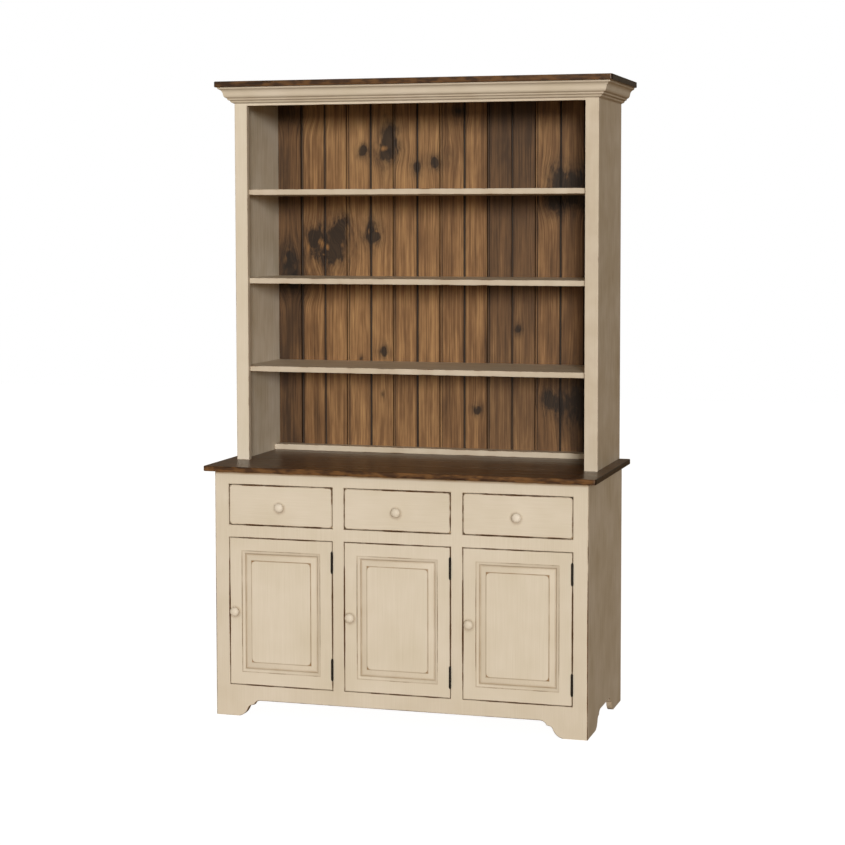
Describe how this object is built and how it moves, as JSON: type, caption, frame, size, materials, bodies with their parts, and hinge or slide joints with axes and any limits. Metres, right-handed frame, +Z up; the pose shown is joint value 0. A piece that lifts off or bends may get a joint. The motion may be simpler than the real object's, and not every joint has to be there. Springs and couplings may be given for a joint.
{
  "type": "step back cupboard",
  "caption": "Painted step back cupboard: drawers over raised-panel doors in the base, a stained counter, and an open-shelved hutch with a boarded back and a crown moulding.",
  "frame": {"origin": "on the floor, under the middle of the whole piece's bounding box", "axes": "+Z up, +X towards the right-hand side seen from the front, -Y out of the front"},
  "size_m": [1.396, 0.59, 2.1725],
  "materials": {
    "cream_paint": "cream paint with brown glaze, rubbed through along the edges",
    "walnut_stain": "dark walnut stain under satin varnish",
    "stained_pine": "knotty pine boards, stained and waxed",
    "bare_wood": "planed and unfinished",
    "black_iron": "black hinge iron, semi-matt"
  },
  "bodies": {
    "root": {"base_side_left": "cream_paint", "base_side_right": "cream_paint", "base_stile_left": "cream_paint", "base_stile_right": "cream_paint", "base_top_rail": "cream_paint", "base_middle_rail": "cream_paint", "base_mullion_left": "cream_paint", "base_mullion_right": "cream_paint", "base_apron": "cream_paint", "hutch_side_left": "cream_paint", "hutch_side_right": "cream_paint", "hutch_stile_left": "cream_paint", "hutch_stile_right": "cream_paint", "hutch_top_rail": "cream_paint", "hutch_shelf_1": "cream_paint", "hutch_shelf_2": "cream_paint", "hutch_shelf_3": "cream_paint", "hutch_back_cleat": "cream_paint", "crown_front": "cream_paint", "crown_left": "cream_paint", "crown_right": "cream_paint", "base_floor": "bare_wood", "base_inner_shelf": "bare_wood", "base_back": "bare_wood", "drawer_runner_frame": "bare_wood", "drawer_kicker_left": "bare_wood", "drawer_kicker_right": "bare_wood", "counter_top": "walnut_stain", "cap_board": "walnut_stain", "hutch_back": "stained_pine", "hinge_left_upper_frame_leaf": "black_iron", "hinge_left_lower_frame_leaf": "black_iron", "hinge_middle_upper_frame_leaf": "black_iron", "hinge_middle_lower_frame_leaf": "black_iron", "hinge_right_upper_frame_leaf": "black_iron", "hinge_right_lower_frame_leaf": "black_iron"},
    "drawer_left": {"drawer_left_front": "cream_paint", "drawer_left_box": "bare_wood", "drawer_left_knob": "cream_paint"},
    "drawer_middle": {"drawer_middle_front": "cream_paint", "drawer_middle_box": "bare_wood", "drawer_middle_knob": "cream_paint"},
    "drawer_right": {"drawer_right_front": "cream_paint", "drawer_right_box": "bare_wood", "drawer_right_knob": "cream_paint"},
    "door_left": {"door_left_frame": "cream_paint", "door_left_panel": "cream_paint", "door_left_knob": "cream_paint", "hinge_left_upper_door_leaf": "black_iron", "hinge_left_lower_door_leaf": "black_iron"},
    "door_middle": {"door_middle_frame": "cream_paint", "door_middle_panel": "cream_paint", "door_middle_knob": "cream_paint", "hinge_middle_upper_door_leaf": "black_iron", "hinge_middle_lower_door_leaf": "black_iron"},
    "door_right": {"door_right_frame": "cream_paint", "door_right_panel": "cream_paint", "door_right_knob": "cream_paint", "hinge_right_upper_door_leaf": "black_iron", "hinge_right_lower_door_leaf": "black_iron"}
  },
  "joints": [
    {"name": "drawer_left_slide", "type": "slide", "parent": "root", "child": "drawer_left", "axis": [0, -1, 0], "range_m": [0, 0.36]},
    {"name": "drawer_middle_slide", "type": "slide", "parent": "root", "child": "drawer_middle", "axis": [0, -1, 0], "range_m": [0, 0.36]},
    {"name": "drawer_right_slide", "type": "slide", "parent": "root", "child": "drawer_right", "axis": [0, -1, 0], "range_m": [0, 0.36]},
    {"name": "door_left_hinge", "type": "hinge", "parent": "root", "child": "door_left", "pos_m": [-0.22845, -0.2685, 0.36275], "axis": [0, 0, 1], "range_deg": [0, 110]},
    {"name": "door_middle_hinge", "type": "hinge", "parent": "root", "child": "door_middle", "pos_m": [0.18555, -0.2685, 0.36275], "axis": [0, 0, 1], "range_deg": [0, 110]},
    {"name": "door_right_hinge", "type": "hinge", "parent": "root", "child": "door_right", "pos_m": [0.59955, -0.2685, 0.36275], "axis": [0, 0, 1], "range_deg": [0, 110]}
  ]
}
